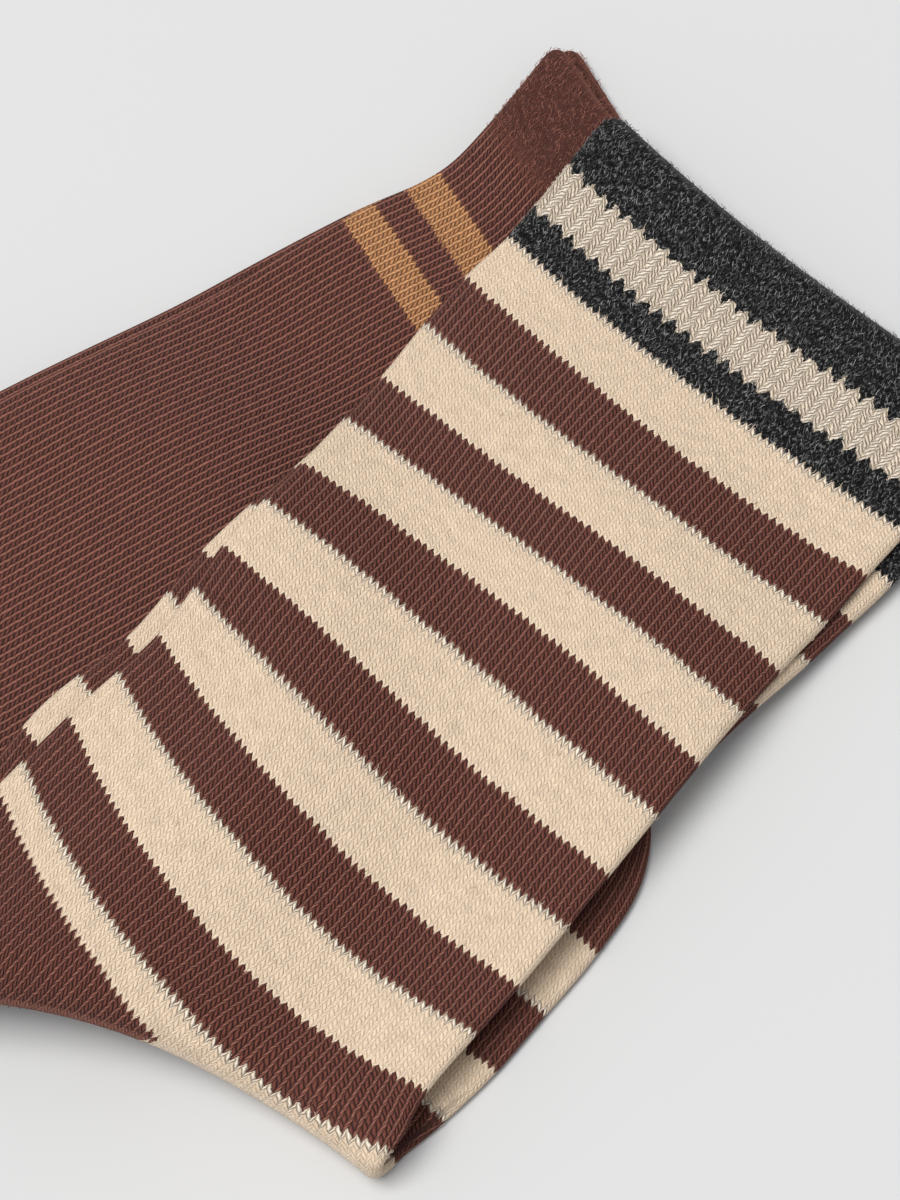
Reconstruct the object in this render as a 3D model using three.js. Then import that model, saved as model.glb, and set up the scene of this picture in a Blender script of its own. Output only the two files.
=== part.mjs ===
// Two pairs of knitted socks, folded and laid one over the other.
// Each sock is one closed wall of knit: a flattened tube, open at the cuff and closed at the toe,
// that runs down the leg, turns under at the instep and comes back beneath itself as the foot.
// The two socks of a pair lie together and turn under together, so a fold holds one inside the other.
// Millimetres, +Z up. X and Y lie on the table; the striped legs point to the far right.
import * as THREE from "three";

// The knit and how closely it stacks
const WALL = 1.1;
const SLIT = 0.3;
const GAP = 0.5;
const TUBE = 2 * WALL + SLIT;
const STEP = TUBE + GAP;

// How far a sock takes to come down from a raised edge beneath it
const CLEAR_OF_EDGE = 2;
const DROP_REACH = 52;
const FOOT_REACH = 50;

// The middle of the whole heap, measured in the plan of the tables below
const PLAN_MIDDLE = { x: -23.91, y: 1.86 };

// Striped sock, leg: down is the knit below the cuff's edge, measured at the front.
// back and front are the tube's two folded edges; sagBack and sagFront bow a row toward the foot.
const STRIPED_LEG = [
  { down: 0, back: [22.8, 70.4], front: [76.2, 24.8], sagBack: 3, sagFront: 2 },
  { down: 24.5, back: [8.2, 50.8], front: [63.7, 8.4], sagBack: 3.1, sagFront: 3.1 },
  { down: 34.5, back: [1.5, 43.6], front: [57.3, 0.8], sagBack: 1, sagFront: 2.6 },
  { down: 53, back: [-9.6, 27.5], front: [44.9, -13.8], sagBack: 0, sagFront: -2 },
  { down: 71.5, back: [-19.7, 12.5], front: [33.3, -28.2], sagBack: -1.8, sagFront: -1.8 },
  { down: 90, back: [-30.9, -2.0], front: [20.8, -44.1], sagBack: -3.2, sagFront: 2.2 },
  { down: 108.5, back: [-39.2, -14.6], front: [9.0, -59.1], sagBack: 3.5, sagFront: 5 },
  { down: 127, back: [-50.6, -25.8], front: [-2.8, -73.1], sagBack: 7, sagFront: 10 },
  { down: 131, back: [-66, -43], front: [-4.6, -76.4], sagBack: -4, sagFront: -2.5 },
  { down: 134, back: [-77.5, -56.5], front: [-6.1, -79.2], sagBack: -8.7, sagFront: -10.7 },
];

// Striped sock, foot: from the fold to the toe, beneath the leg
const STRIPED_FOOT = [
  { down: 148, back: [-77.5, -56.5], front: [-6.1, -79.2], sagBack: -8.7, sagFront: -10.7 },
  { down: 154, back: [-62, -42.5], front: [-1.2, -74.9], sagBack: -2, sagFront: -2 },
  { down: 164, back: [-49, -32], front: [5.7, -68.2], sagBack: 0, sagFront: 0 },
  { down: 172.5, back: [-40, -22], front: [12.3, -60.4], sagBack: 0, sagFront: 0 },
  { down: 182.5, back: [-32, -11.5], front: [19.4, -51.8], sagBack: 0, sagFront: 0 },
  { down: 194, back: [-21.5, -2], front: [25.3, -42.5], sagBack: -1, sagFront: -1 },
  { down: 204, back: [-10, 3.5], front: [27, -33.5], sagBack: -2, sagFront: -2 },
  { down: 211, back: [0, 3.5], front: [24, -23], sagBack: -2, sagFront: -2 },
  { down: 215, back: [8, -1], front: [19.5, -14], sagBack: -1, sagFront: -1 },
];

// Brown sock, leg
const BROWN_LEG = [
  { down: 0, back: [15.4, 85], front: [47.5, 31], sagBack: 0, sagFront: 0 },
  { down: 17.6, back: [4.7, 70.5], front: [37.5, 18.5], sagBack: 0, sagFront: 0 },
  { down: 27, back: [-1.6, 63.8], front: [31.5, 12], sagBack: 0.5, sagFront: 0.5 },
  { down: 43.5, back: [-15.6, 56], front: [18.2, 3.8], sagBack: 0.5, sagFront: 0.5 },
  { down: 66, back: [-34.9, 43.1], front: [-1.1, -8.7], sagBack: 1, sagFront: 1 },
  { down: 98.5, back: [-62, 25.7], front: [-28.2, -26.3], sagBack: 1, sagFront: 1 },
  { down: 128, back: [-88, 9], front: [-53, -42], sagBack: 4, sagFront: 5 },
  { down: 140, back: [-106, -3], front: [-66, -51.5], sagBack: 0, sagFront: 0 },
  { down: 148, back: [-122, -17], front: [-72, -56], sagBack: -5, sagFront: -6 },
];

// Brown sock, foot
const BROWN_FOOT = [
  { down: 160, back: [-122, -17], front: [-72, -56], sagBack: -5, sagFront: -6 },
  { down: 166, back: [-107, -12], front: [-62.5, -53], sagBack: -1, sagFront: -1 },
  { down: 176, back: [-94, -2], front: [-52, -46.5], sagBack: 0, sagFront: 0 },
  { down: 186, back: [-83, 6], front: [-43, -39.5], sagBack: 0, sagFront: 0 },
  { down: 198, back: [-70, 12.5], front: [-35, -31], sagBack: -1, sagFront: -1 },
  { down: 208, back: [-57, 13.5], front: [-31, -22], sagBack: -2, sagFront: -2 },
  { down: 215, back: [-46, 9.5], front: [-31, -12], sagBack: -2, sagFront: -2 },
  { down: 219, back: [-40, 4.5], front: [-34, -5.5], sagBack: 0, sagFront: 0 },
];

// The under sock of a pair: its leg is turned a little under the upper one and meets the same fold
const STRIPED_UNDER = {
  turn: -4.6,
  pivot: [-20, 22],
  shift: [-0.8, -1],
  freeRows: 7,
  last: [
    { down: 127, back: [-55.2, -24.3], front: [-8.5, -70.5], sagBack: 5, sagFront: 6 },
    { down: 131, back: [-68.5, -38], front: [-10, -73], sagBack: -3, sagFront: -2 },
  ],
  foldFrom: 0.01,
  foldTo: 0.93,
};
const BROWN_UNDER = {
  turn: -2,
  pivot: [24, 37],
  shift: [0.4, 1.2],
  freeRows: 4,
  last: [
    { down: 66, back: [-35.2, 46.2], front: [-1.6, -7.2], sagBack: 0.5, sagFront: 0.5 },
    { down: 98.5, back: [-62.4, 28.9], front: [-29.4, -25.2], sagBack: 0.5, sagFront: 0.5 },
    { down: 128, back: [-89.5, 11.5], front: [-56, -42], sagBack: 3, sagFront: 4 },
    { down: 140, back: [-107.5, -1.5], front: [-68, -50.5], sagBack: 0, sagFront: 0 },
  ],
  foldFrom: 0.02,
  foldTo: 0.94,
};

// How much an under sock's foot is drawn in from the upper one's, as shares of its width
const UNDER_FOOT_BACK = 0.05;
const UNDER_FOOT_FRONT = 0.08;

// What the socks above are lifted over: the brown legs, the brown feet and the striped feet
const BROWN_LEG_SPREAD = [[16, 87], [50, 32], [-76, -62], [-128, -20]];
const BROWN_FOOT_SPREAD = [
  [-122, -17], [-72, -56], [-35, -33], [-29, -20], [-30, -8], [-38, 8], [-50, 15], [-75, 14], [-105, -8],
];
const STRIPED_FOOT_SPREAD = [
  [-77.5, -58], [-34, -70], [-6.1, -80.5], [22, -50], [28, -35], [24, -18], [12, 3], [-10, 7], [-34, -9], [-63, -40],
];

// How finely each sock is faceted
const UPPER_MESH = { across: 10, edge: 3, rowLength: 6.5, turn: 5 };
const UNDER_MESH = { across: 9, edge: 2, rowLength: 7, turn: 4 };

const KNIT = {
  striped: { color: 0xe0caa6, roughness: 0.95, metalness: 0 },
  brown: { color: 0x62403a, roughness: 0.95, metalness: 0 },
};

const mix = (a, b, t) => a + (b - a) * t;
const mixPoint = (a, b, t) => [mix(a[0], b[0], t), mix(a[1], b[1], t)];

// How far a point lies outside a convex outline, rounded at the outline's corners
function distanceOutside(point, outline) {
  const middle = outline.reduce((sum, corner) => [sum[0] + corner[0], sum[1] + corner[1]], [0, 0]);
  const centre = [middle[0] / outline.length, middle[1] / outline.length];
  let squares = 0;
  outline.forEach((from, i) => {
    const to = outline[(i + 1) % outline.length];
    const length = Math.hypot(to[0] - from[0], to[1] - from[1]);
    const normal = [(to[1] - from[1]) / length, (from[0] - to[0]) / length];
    const side = Math.sign((from[0] - centre[0]) * normal[0] + (from[1] - centre[1]) * normal[1]);
    const across = ((point[0] - from[0]) * normal[0] + (point[1] - from[1]) * normal[1]) * side;
    squares += Math.max(across - CLEAR_OF_EDGE, 0) ** 2;
  });
  return Math.sqrt(squares);
}

// 1 over an outline, falling to 0 in a soft slope beside it
function lift(point, outline, reach) {
  const away = Math.min(distanceOutside(point, outline) / reach, 1);
  return (1 + Math.cos(Math.PI * away)) / 2;
}

const noLift = () => 0;
const overBrownPair = (point) =>
  2 * STEP * (lift(point, BROWN_LEG_SPREAD, DROP_REACH) + lift(point, BROWN_FOOT_SPREAD, FOOT_REACH));
const overOwnFeet = (outline) => (point) => 2 * STEP * lift(point, outline, FOOT_REACH);

// A smooth curve through the rows of a table, for one of their values
function between(rows, key, i, t) {
  const valueAt = (k) => rows[Math.min(Math.max(k, 0), rows.length - 1)];
  const spread = (k) => valueAt(k).down;
  const slope = (k) => {
    const before = Math.max(k - 1, 0);
    const after = Math.min(k + 1, rows.length - 1);
    return (key(valueAt(after)) - key(valueAt(before))) / (spread(after) - spread(before));
  };
  const length = spread(i + 1) - spread(i);
  const [from, to] = [key(valueAt(i)), key(valueAt(i + 1))];
  const h = [2 * t ** 3 - 3 * t ** 2 + 1, t ** 3 - 2 * t ** 2 + t, 3 * t ** 2 - 2 * t ** 3, t ** 3 - t ** 2];
  return h[0] * from + h[1] * length * slope(i) + h[2] * to + h[3] * length * slope(i + 1);
}

function rowBetween(rows, i, t) {
  const read = (key) => between(rows, key, i, t);
  return {
    down: mix(rows[i].down, rows[i + 1].down, t),
    back: [read((row) => row.back[0]), read((row) => row.back[1])],
    front: [read((row) => row.front[0]), read((row) => row.front[1])],
    sagBack: read((row) => row.sagBack),
    sagFront: read((row) => row.sagFront),
  };
}

// A point of a row at u from its back edge, 0, to its front edge, 1
function pointOnRow(row, u) {
  const along = [row.front[0] - row.back[0], row.front[1] - row.back[1]];
  const width = Math.hypot(along[0], along[1]);
  const toFoot = [along[1] / width, -along[0] / width];
  const sag = 3 * u * (1 - u) ** 2 * row.sagBack + 3 * u ** 2 * (1 - u) * row.sagFront;
  const straight = mixPoint(row.back, row.front, u);
  return [straight[0] + toFoot[0] * sag, straight[1] + toFoot[1] * sag];
}

// The direction in which a row runs at u, from the back edge toward the front edge
function directionOnRow(row, u) {
  const h = 0.01;
  const [a, b] = [pointOnRow(row, Math.max(u - h, 0)), pointOnRow(row, Math.min(u + h, 1))];
  const length = Math.hypot(b[0] - a[0], b[1] - a[1]);
  return [(b[0] - a[0]) / length, (b[1] - a[1]) / length];
}

// Where each facet's corner lies across a row, the rounded edges kept inside the row's width
function acrossRow(row, count) {
  const width = Math.hypot(row.front[0] - row.back[0], row.front[1] - row.back[1]);
  const inset = TUBE / 2 / width;
  return Array.from({ length: count + 1 }, (_, i) => mix(inset, 1 - inset, i / count));
}

// Rows of a table cut up so that none is longer than the mesh asks
function cutRows(rows, rowLength) {
  const cut = [rows[0]];
  for (let i = 0; i + 1 < rows.length; i += 1) {
    const reach = ["back", "front"].map((edge) =>
      Math.hypot(rows[i + 1][edge][0] - rows[i][edge][0], rows[i + 1][edge][1] - rows[i][edge][1]));
    const pieces = Math.max(1, Math.round(Math.max(...reach) / rowLength));
    for (let k = 1; k <= pieces; k += 1) cut.push(rowBetween(rows, i, k / pieces));
  }
  return cut;
}

// The middle of the flattened tube at one point of one row, and the way its upper face looks
function flatAt(row, u, heightAt) {
  const point = pointOnRow(row, u);
  return [point[0], point[1], heightAt(point)];
}

function turnedAt(row, u, heights, angle) {
  const point = pointOnRow(row, u);
  const along = directionOnRow(row, u);
  const [top, bottom] = [heights.top(point), heights.bottom(point)];
  const radius = (top - bottom) / 2;
  const out = radius * Math.sin(angle);
  return [point[0] + along[1] * out, point[1] - along[0] * out, (top + bottom) / 2 + radius * Math.cos(angle)];
}

// A corner's place, its upper side's direction and the direction of the row there, slope and all
function station(place, u, up) {
  const h = 0.005;
  const [before, after] = [place(u - h), place(u + h)];
  const run = Math.hypot(after[0] - before[0], after[1] - before[1]);
  return { at: place(u), up, along: before.map((value, axis) => (after[axis] - value) / run) };
}

function flatStation(row, u, heightAt, upward) {
  return station((v) => flatAt(row, v, heightAt), u, [0, 0, upward]);
}

function turnStation(row, u, heights, angle) {
  const along = directionOnRow(row, u);
  const up = [along[1] * Math.sin(angle), -along[0] * Math.sin(angle), Math.cos(angle)];
  return station((v) => turnedAt(row, v, heights, angle), u, up);
}

// The closed ring of corners around one row, at a distance from the tube's middle
function ringAround(stations, radius, edge) {
  const ring = [];
  const push = (station, angle, outSign) => {
    const [side, rise] = [Math.sin(angle) * radius * outSign, Math.cos(angle) * radius];
    ring.push([
      station.at[0] + station.along[0] * side + station.up[0] * rise,
      station.at[1] + station.along[1] * side + station.up[1] * rise,
      station.at[2] + station.along[2] * side + station.up[2] * rise,
    ]);
  };
  const last = stations.length - 1;
  stations.forEach((station) => push(station, 0, 1));
  for (let k = 1; k < edge; k += 1) push(stations[last], (Math.PI * k) / edge, 1);
  [...stations].reverse().forEach((station) => push(station, Math.PI, 1));
  for (let k = edge - 1; k > 0; k -= 1) push(stations[0], (Math.PI * k) / edge, -1);
  return ring;
}

// Every station of a sock, row by row, from the cuff to the toe
function layRows(sock) {
  const rows = [];
  const legRows = cutRows(sock.leg, sock.mesh.rowLength);
  const footRows = cutRows(sock.foot, sock.mesh.rowLength);
  const fold = legRows[legRows.length - 1];
  const heights = {
    top: (point) => sock.support(point) + sock.ownFeet(point) + TUBE / 2 + sock.legLevel * STEP,
    bottom: (point) => sock.support(point) + TUBE / 2 + sock.footLevel * STEP,
  };
  legRows.forEach((row) => {
    rows.push(acrossRow(row, sock.mesh.across).map((u) => flatStation(row, u, heights.top, 1)));
  });
  for (let k = 1; k < sock.mesh.turn; k += 1) {
    const angle = (Math.PI * k) / sock.mesh.turn;
    rows.push(acrossRow(fold, sock.mesh.across).map((u) => turnStation(fold, u, heights, angle)));
  }
  footRows.forEach((row) => {
    rows.push(acrossRow(row, sock.mesh.across).map((u) => flatStation(row, u, heights.bottom, -1)));
  });
  return rows;
}

// Joins rings into one closed wall: outer face, inner face, the cuff's rim and the two toe ends
function knitWall(rows, mesh) {
  const corners = [];
  const faces = [];
  const addRing = (ring) => {
    const first = corners.length;
    corners.push(...ring);
    return first;
  };
  const size = 2 * (mesh.across + 1) + 2 * (mesh.edge - 1);
  const quad = (a, b, c, d) => faces.push([a, b, c], [a, c, d]);
  const skin = (from, to, outside) => {
    for (let j = 0; j < size; j += 1) {
      const next = (j + 1) % size;
      const loop = [from + j, from + next, to + next, to + j];
      quad(...(outside ? loop.reverse() : loop));
    }
  };
  const closeEnd = (first, outside) => {
    const top = (j) => first + j;
    const bottom = (j) => first + 2 * mesh.across + 1 + (mesh.edge - 1) - j;
    const edgeFan = (centre, from, count) => {
      for (let k = 0; k < count; k += 1) {
        const loop = [centre, first + ((from + k + 1) % size), first + ((from + k) % size)];
        faces.push(outside ? loop : loop.reverse());
      }
    };
    for (let j = 0; j < mesh.across; j += 1) {
      const loop = [top(j), bottom(j), bottom(j + 1), top(j + 1)];
      quad(...(outside ? loop : loop.reverse()));
    }
    edgeFan(bottom(mesh.across), mesh.across, mesh.edge - 1);
    edgeFan(top(0), 2 * mesh.across + mesh.edge, mesh.edge - 1);
  };
  const outer = rows.map((stations) => addRing(ringAround(stations, TUBE / 2, mesh.edge)));
  const inner = rows.slice(0, -1).map((stations) => addRing(ringAround(stations, SLIT / 2, mesh.edge)));
  for (let i = 0; i + 1 < outer.length; i += 1) skin(outer[i], outer[i + 1], true);
  for (let i = 0; i + 1 < inner.length; i += 1) skin(inner[i], inner[i + 1], false);
  skin(inner[0], outer[0], true);
  closeEnd(outer[outer.length - 1], true);
  closeEnd(inner[inner.length - 1], false);
  return { corners, faces };
}

function sockMesh(name, sock) {
  const wall = knitWall(layRows(sock), sock.mesh);
  const geometry = new THREE.BufferGeometry();
  const placed = wall.corners.flatMap(([x, y, z]) => [x - PLAN_MIDDLE.x, y - PLAN_MIDDLE.y, z]);
  geometry.setAttribute("position", new THREE.Float32BufferAttribute(placed, 3));
  geometry.setIndex(wall.faces.flat());
  geometry.computeVertexNormals();
  const mesh = new THREE.Mesh(geometry, new THREE.MeshStandardMaterial(KNIT[sock.knit]));
  mesh.name = name;
  return mesh;
}

// An under sock's leg: the upper leg's rows turned about a pivot, then its own last rows and the fold
function turnedUnder(leg, under) {
  const angle = THREE.MathUtils.degToRad(under.turn);
  const turned = ([x, y]) => {
    const [dx, dy] = [x - under.pivot[0], y - under.pivot[1]];
    return [
      under.pivot[0] + under.shift[0] + dx * Math.cos(angle) - dy * Math.sin(angle),
      under.pivot[1] + under.shift[1] + dx * Math.sin(angle) + dy * Math.cos(angle),
    ];
  };
  const free = leg.slice(0, under.freeRows)
    .map((row) => ({ ...row, back: turned(row.back), front: turned(row.front) }));
  return [...free, ...under.last, foldWithin(leg[leg.length - 1], under)];
}

// The part of an upper sock's fold that the under sock's fold fills, as a row of its own
function foldWithin(fold, under) {
  const [u0, u1] = [under.foldFrom, under.foldTo];
  const width = Math.hypot(fold.front[0] - fold.back[0], fold.front[1] - fold.back[1]);
  const sagAt = (u) => 3 * u * (1 - u) ** 2 * fold.sagBack + 3 * u ** 2 * (1 - u) * fold.sagFront;
  const slopeAt = (u) =>
    3 * ((1 - u) * (1 - 3 * u) * fold.sagBack + u * (2 - 3 * u) * fold.sagFront);
  const chord = (sagAt(u1) - sagAt(u0)) / (u1 - u0);
  const handle = (u) => ((slopeAt(u) - chord) * (u1 - u0)) / 3;
  const tilt = Math.cos(Math.atan2(sagAt(u1) - sagAt(u0), width * (u1 - u0)));
  return {
    ...fold,
    back: pointOnRow(fold, u0),
    front: pointOnRow(fold, u1),
    sagBack: handle(u0) / tilt,
    sagFront: -handle(u1) / tilt,
  };
}

function underFoot(foot, legFold) {
  const drawnIn = foot.slice(1).map((row) => ({
    ...row,
    back: mixPoint(row.back, row.front, UNDER_FOOT_BACK),
    front: mixPoint(row.front, row.back, UNDER_FOOT_FRONT),
  }));
  return [{ ...legFold, down: foot[0].down }, ...drawnIn];
}

function pairOfSocks(name, knit, leg, foot, under, footSpread, support) {
  const shared = { knit, support, ownFeet: overOwnFeet(footSpread) };
  const underLeg = turnedUnder(leg, under);
  const upper = { ...shared, leg, foot, mesh: UPPER_MESH, legLevel: 1, footLevel: 0 };
  const lower = {
    ...shared,
    leg: underLeg,
    foot: underFoot(foot, underLeg[underLeg.length - 1]),
    mesh: UNDER_MESH,
    legLevel: 0,
    footLevel: 1,
  };
  return [sockMesh(name + "_sock_upper", upper), sockMesh(name + "_sock_under", lower)];
}

const socks = new THREE.Group();
socks.add(...pairOfSocks("brown", "brown", BROWN_LEG, BROWN_FOOT, BROWN_UNDER, BROWN_FOOT_SPREAD, noLift));
socks.add(...pairOfSocks(
  "striped", "striped", STRIPED_LEG, STRIPED_FOOT, STRIPED_UNDER, STRIPED_FOOT_SPREAD, overBrownPair));

export default socks;
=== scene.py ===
# %% [markdown]
# # Two pairs of knitted socks, folded and laid across each other
# Striped children's socks lie across a plain brown pair. The CAD solids give their size and place. Each
# is rebuilt here as a finer tube of knit, made of wales, the columns of stitches along it, and of
# courses, the rows of them round it.

# %% Load the frame
import math

import bpy
import numpy as np
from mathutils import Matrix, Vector


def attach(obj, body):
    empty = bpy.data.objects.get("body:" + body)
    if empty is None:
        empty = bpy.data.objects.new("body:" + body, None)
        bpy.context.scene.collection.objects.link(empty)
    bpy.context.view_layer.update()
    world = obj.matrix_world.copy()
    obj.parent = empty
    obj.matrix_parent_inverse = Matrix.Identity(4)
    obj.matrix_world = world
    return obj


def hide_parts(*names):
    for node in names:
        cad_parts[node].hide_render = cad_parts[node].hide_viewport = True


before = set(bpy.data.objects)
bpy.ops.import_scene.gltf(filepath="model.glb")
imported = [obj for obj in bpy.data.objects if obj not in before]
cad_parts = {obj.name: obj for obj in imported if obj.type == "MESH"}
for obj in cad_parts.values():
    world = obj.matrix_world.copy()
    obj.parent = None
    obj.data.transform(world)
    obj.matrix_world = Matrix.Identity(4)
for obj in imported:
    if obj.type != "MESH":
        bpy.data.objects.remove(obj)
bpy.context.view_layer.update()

MM = 0.001

# %% [markdown]
# ## The camera
# The photo looks steeply down at the socks. A long lens from a little over half a metre keeps their
# edges nearly parallel, as in a close-up. The tables below have their zero in the middle of the
# picture, so the camera aims there. PLAN_MIDDLE is the middle of the heap's box as they count it.

# %% Place the camera
PLAN_MIDDLE = np.array([-23.91, 1.86])
ELEVATION = math.radians(68)
DISTANCE = 620 * MM

aim = Vector((-PLAN_MIDDLE[0] * MM, -PLAN_MIDDLE[1] * MM, 0))
camera_data = bpy.data.cameras.new("camera")
camera = bpy.data.objects.new("camera", camera_data)
bpy.context.collection.objects.link(camera)
bpy.context.scene.camera = camera
camera_data.sensor_fit = "VERTICAL"
camera_data.sensor_height = 36
camera_data.lens = 135
camera_data.clip_start = 0.05
camera.location = aim + Vector((0, -math.cos(ELEVATION), math.sin(ELEVATION))) * DISTANCE
camera.rotation_euler = (math.pi / 2 - ELEVATION, 0, 0)
bpy.context.scene.view_settings.view_transform = "Standard"
print("camera at, mm:", [round(v / MM) for v in camera.location])

# %% [markdown]
# ## The knit's sizes
# A flat sock is two thin layers of knit lying on each other. It could be one thick sheet, but two walls
# with a slit between them show a real opening at the cuff. The count of the stitches, 120 wales round
# the sock, sets the scale of all else.

# %% Sizes in millimetres
WALL = 1.1
SLIT = 0.3
GAP = 0.5
TUBE = 2 * WALL + SLIT
STEP = TUBE + GAP
COURSE = 0.77
WALES = 120
print("layers lie", STEP, "mm apart")

# %% [markdown]
# ## The socks' rows
# Each row of a table crosses the flat tube: `down` is the knit between the cuff's edge and the row, `back`
# and `front` are its two folded edges, and two sags bow it toward the foot, all in millimetres. Rows suit
# a real heap, because one stands only where an edge bends. The striped leg's lie on its solid where its
# stripes begin and end, so each leans as in the photo. The other three tables are the solids' own.

# %% The striped sock's leg and foot
STRIPED_LEG = [
    # down, back, front, sag near the back, sag near the front
    (0, (22.8, 70.4), (76.2, 24.8), 3.2, 2.6),
    (24.5, (8.3, 50.9), (62.6, 7), 3.1, 3.2),
    (34.5, (2.3, 44.6), (57.3, 0.9), 3.3, 6.4),
    (43, (-3.3, 37), (51.5, -6.1), 4.4, 4.2),
    (53, (-9.3, 27.9), (44.8, -13.9), 2.9, 2),
    (71.5, (-20, 12.1), (33.5, -28), -2.4, -1),
    (90, (-30.2, -1), (21.3, -43.4), 0.4, 1.5),
    (108.5, (-38.3, -13.5), (9.4, -58.5), 6.5, 4.7),
    (127, (-49.6, -24.8), (-2.6, -72.7), 9.6, 8.6),
    (134, (-77.5, -56.5), (-6.1, -79.2), -8.7, -10.7),
]
STRIPED_FOOT = [
    (148, (-77.5, -56.5), (-6.1, -79.2), -8.7, -10.7),
    (154, (-62, -42.5), (-1.2, -74.9), -2, -2),
    (164, (-49, -32), (5.7, -68.2), 0, 0),
    (172.5, (-40, -22), (12.3, -60.4), 0, 0),
    (182.5, (-32, -11.5), (19.4, -51.8), 0, 0),
    (194, (-21.5, -2), (25.3, -42.5), -1, -1),
    (204, (-10, 3.5), (27, -33.5), -2, -2),
    (211, (0, 3.5), (24, -23), -2, -2),
    (215, (8, -1), (19.5, -14), -1, -1),
]
print("striped sock:", len(STRIPED_LEG + STRIPED_FOOT), "rows")

# %% The brown sock's leg and foot
BROWN_LEG = [
    # down, back, front, sag near the back, sag near the front
    (0, (15.4, 85), (47.5, 31), 0, 0),
    (17.6, (4.7, 70.5), (37.5, 18.5), 0, 0),
    (27, (-1.6, 63.8), (31.5, 12), 0.5, 0.5),
    (43.5, (-15.6, 56), (18.2, 3.8), 0.5, 0.5),
    (66, (-34.9, 43.1), (-1.1, -8.7), 1, 1),
    (98.5, (-62, 25.7), (-28.2, -26.3), 1, 1),
    (128, (-88, 9), (-53, -42), 4, 5),
    (140, (-106, -3), (-66, -51.5), 0, 0),
    (148, (-122, -17), (-72, -56), -5, -6),
]
BROWN_FOOT = [
    (160, (-122, -17), (-72, -56), -5, -6),
    (166, (-107, -12), (-62.5, -53), -1, -1),
    (176, (-94, -2), (-52, -46.5), 0, 0),
    (186, (-83, 6), (-43, -39.5), 0, 0),
    (198, (-70, 12.5), (-35, -31), -1, -1),
    (208, (-57, 13.5), (-31, -22), -2, -2),
    (215, (-46, 9.5), (-31, -12), -2, -2),
    (219, (-40, 4.5), (-34, -5.5), 0, 0),
]
print("brown sock:", len(BROWN_LEG + BROWN_FOOT), "rows")

# %% [markdown]
# ## The mates beneath
# Each pair was folded as one, so the mate is the upper sock turned by a few degrees, and only its last
# rows have their own places. The striped mate's knit has slipped a little toward the cuff, as its
# stripes show in the photo.

# %% Turn, slip and last rows of each mate
STRIPED_UNDER = dict(
    turn=-4.6, pivot=(-20, 22), shift=(-1.3, -0.6), fold=(0.01, 0.93),
    slip=(0, 2, 2.2, 2.2, 2.2, 1.6, 0.4, -0.4),
    last=[(126.6, (-55.2, -24.3), (-8.5, -70.5), 5, 6)],
)
BROWN_UNDER = dict(
    turn=-2, pivot=(24, 37), shift=(0.4, 1.2), fold=(0.02, 0.94),
    slip=(0, 0, 0, 0),
    last=[
        (66, (-35.2, 46.2), (-1.6, -7.2), 0.5, 0.5),
        (98.5, (-62.4, 28.9), (-29.4, -25.2), 0.5, 0.5),
        (128, (-89.5, 11.5), (-56, -42), 3, 4),
        (140, (-107.5, -1.5), (-68, -50.5), 0, 0),
    ],
)
UNDER_FOOT_BACK = 0.05
UNDER_FOOT_FRONT = 0.08
print("mates' turns:", STRIPED_UNDER["turn"], BROWN_UNDER["turn"])

# %% [markdown]
# ## How high the cloth lies
# Each layer lies one step above the one beneath. Where the folded feet or the brown pair end, the cloth
# above comes down in a long soft slope, as knit is too stiff for a sharp corner. A rounded fall beside a
# convex outline gives that slope at every point.

# %% Height of the heap under a layer
CLEAR_OF_EDGE = 2
DROP_REACH = 52
FOOT_REACH = 50
BROWN_LEG_SPREAD = [(16, 87), (50, 32), (-76, -62), (-128, -20)]
BROWN_FOOT_SPREAD = [
    (-122, -17), (-72, -56), (-35, -33), (-29, -20), (-30, -8), (-38, 8), (-50, 15), (-75, 14), (-105, -8),
]
STRIPED_FOOT_SPREAD = [
    (-77.5, -58), (-34, -70), (-6.1, -80.5), (22, -50), (28, -35),
    (24, -18), (12, 3), (-10, 7), (-34, -9), (-63, -40),
]


def lift(points, outline, reach):
    """1 over a convex outline, falling to 0 in a soft slope beside it."""
    corners = np.array(outline, float)
    centre = corners.mean(0)
    squares = np.zeros(points.shape[:-1])
    for start, end in zip(corners, np.roll(corners, -1, axis=0)):
        edge = end - start
        normal = np.array([edge[1], -edge[0]]) / np.hypot(*edge)
        side = np.sign((start - centre) @ normal)
        across = (points - start) @ normal * side
        squares += np.maximum(across - CLEAR_OF_EDGE, 0) ** 2
    away = np.minimum(np.sqrt(squares) / reach, 1)
    return (1 + np.cos(np.pi * away)) / 2


def under_striped(points):
    legs = lift(points, BROWN_LEG_SPREAD, DROP_REACH)
    feet = lift(points, BROWN_FOOT_SPREAD, FOOT_REACH)
    return 2 * STEP * (legs + feet)


def under_brown(points):
    return np.zeros(points.shape[:-1])


print("brown pair's height, mm:", round(float(under_striped(np.array([-60.0, -10.0]))), 1))

# %% [markdown]
# ## Reading the tables
# A smooth curve runs down each wale, so a row can be asked for anywhere between two. A cubic that takes
# its slopes from the rows beside it is enough: it passes through every row without a kink.

# %% Rows and the points on them
def as_array(table):
    return np.array([[d, *back, *front, sb, sf] for d, back, front, sb, sf in table], float)


def reach_of(table):
    """How far each row lies from the first, as the mean of its two edges' way."""
    back = np.linalg.norm(np.diff(table[:, 1:3], axis=0), axis=1)
    front = np.linalg.norm(np.diff(table[:, 3:5], axis=0), axis=1)
    return np.concatenate([[0], np.cumsum((back + front) / 2)])


def between_rows(table, at):
    """Which row of a table lies before each distance, and the share of the way to the next one."""
    reach = reach_of(table)
    i = np.clip(np.searchsorted(reach, at, side="right") - 1, 0, len(reach) - 2)
    return i, (at - reach[i]) / (reach[i + 1] - reach[i])


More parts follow.
